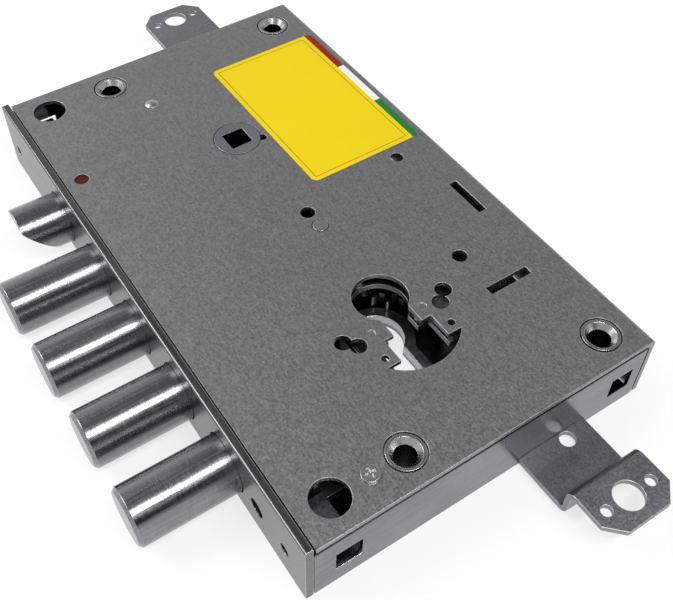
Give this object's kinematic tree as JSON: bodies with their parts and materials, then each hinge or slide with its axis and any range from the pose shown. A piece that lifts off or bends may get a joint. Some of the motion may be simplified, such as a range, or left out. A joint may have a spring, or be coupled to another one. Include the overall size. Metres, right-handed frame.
{
  "type": "multipoint door lock",
  "caption": "Flat armoured-door mortice lock with round dead bolts, a sprung latch, a handle hub, an empty cylinder opening and driven lugs for vertical rods.",
  "frame": {"origin": "centre of the four fixing holes, on the back face of the case", "axes": "+X from the bolts to the back of the case, +Y along the closing edge to the end with the latch, +Z from the back face out through the cover"},
  "size_m": [0.151, 0.2755, 0.0265],
  "materials": {
    "zinc_sheet": "satin galvanised sheet steel",
    "bright_sheet": "bright zinc-plated sheet steel",
    "plated_bar": "polished nickel plate",
    "plain_steel": "plain dark steel",
    "fastener_steel": "zinc-plated",
    "hub_steel": "sintered steel",
    "gear_steel": "hardened gear steel",
    "spring_steel": "oiled spring steel",
    "red_mark": "dark red plug",
    "label_film": "yellow printed film"
  },
  "bodies": {
    "case": {"case_tray": "bright_sheet", "cover_plate": "zinc_sheet", "face_plate": "bright_sheet", "fixing_bushes": "plated_bar", "spacer_posts": "fastener_steel", "cover_screw": "fastener_steel", "cover_rivet": "fastener_steel", "face_screw_blocks": "fastener_steel", "carrier_posts": "fastener_steel", "latch_guide": "bright_sheet", "latch_spring": "spring_steel", "drive_gear_axle": "fastener_steel", "input_gear_axle": "fastener_steel", "reversing_pinion_axle": "fastener_steel", "rod_guide_posts": "fastener_steel", "retaining_washers": "spring_steel", "cylinder_collar": "fastener_steel", "cylinder_guard": "fastener_steel", "latch_mark_plug": "red_mark", "label": "label_film"},
    "bolt_carriage": {"dead_bolt_1": "plated_bar", "dead_bolt_2": "plated_bar", "dead_bolt_3": "plated_bar", "dead_bolt_4": "plated_bar", "bolt_screws": "plain_steel", "bolt_carrier": "plain_steel"},
    "latch": {"latch_bolt": "plated_bar"},
    "hub": {"spindle_hub": "hub_steel"},
    "drive_gear": {"drive_gear": "gear_steel"},
    "input_gear": {"input_gear": "gear_steel"},
    "reversing_pinion": {"reversing_pinion": "gear_steel"},
    "far_rod": {"far_rod_plate": "plain_steel"},
    "near_rod": {"near_rod_plate": "plain_steel"}
  },
  "joints": [
    {"name": "bolt_slide", "type": "slide", "parent": "case", "child": "bolt_carriage", "axis": [1, 0, 0], "range_m": [0, 0.03]},
    {"name": "drive_gear_turn", "type": "hinge", "parent": "case", "child": "drive_gear", "pos_m": [-0.0087, -0.0099, 0.007], "axis": [0, 0, -1], "range_deg": [0, 114.6]},
    {"name": "input_gear_turn", "type": "hinge", "parent": "case", "child": "input_gear", "pos_m": [0.00541, -0.02932, 0.007], "axis": [0, 0, 1], "range_deg": [0, 191]},
    {"name": "far_rod_slide", "type": "slide", "parent": "case", "child": "far_rod", "axis": [0, -1, 0], "range_m": [0, 0.016]},
    {"name": "reversing_pinion_turn", "type": "hinge", "parent": "case", "child": "reversing_pinion", "pos_m": [0.0202, -0.0445, 0.007], "axis": [0, 0, 1], "range_deg": [0, 152.8]},
    {"name": "near_rod_slide", "type": "slide", "parent": "case", "child": "near_rod", "axis": [0, 1, 0], "range_m": [0, 0.016]},
    {"name": "latch_slide", "type": "slide", "parent": "case", "child": "latch", "axis": [1, 0, 0], "range_m": [0, 0.014], "stiffness_N_per_m": 400, "springref_m": -0.008, "deforming": ["latch_spring"]},
    {"name": "hub_turn", "type": "hinge", "parent": "case", "child": "hub", "pos_m": [-0.01, 0.0407, 0.012], "axis": [0, 0, -1], "range_deg": [0, 60.1]}
  ],
  "couplings": [
    {"joint": "drive_gear_turn", "follows": "bolt_slide", "rad_per_m": 66.667},
    {"joint": "input_gear_turn", "follows": "bolt_slide", "rad_per_m": 111.11},
    {"joint": "far_rod_slide", "follows": "bolt_slide", "ratio": 0.53333},
    {"joint": "reversing_pinion_turn", "follows": "bolt_slide", "rad_per_m": 88.889},
    {"joint": "near_rod_slide", "follows": "bolt_slide", "ratio": 0.53333},
    {"joint": "hub_turn", "follows": "latch_slide", "rad_per_m": 74.8}
  ]
}
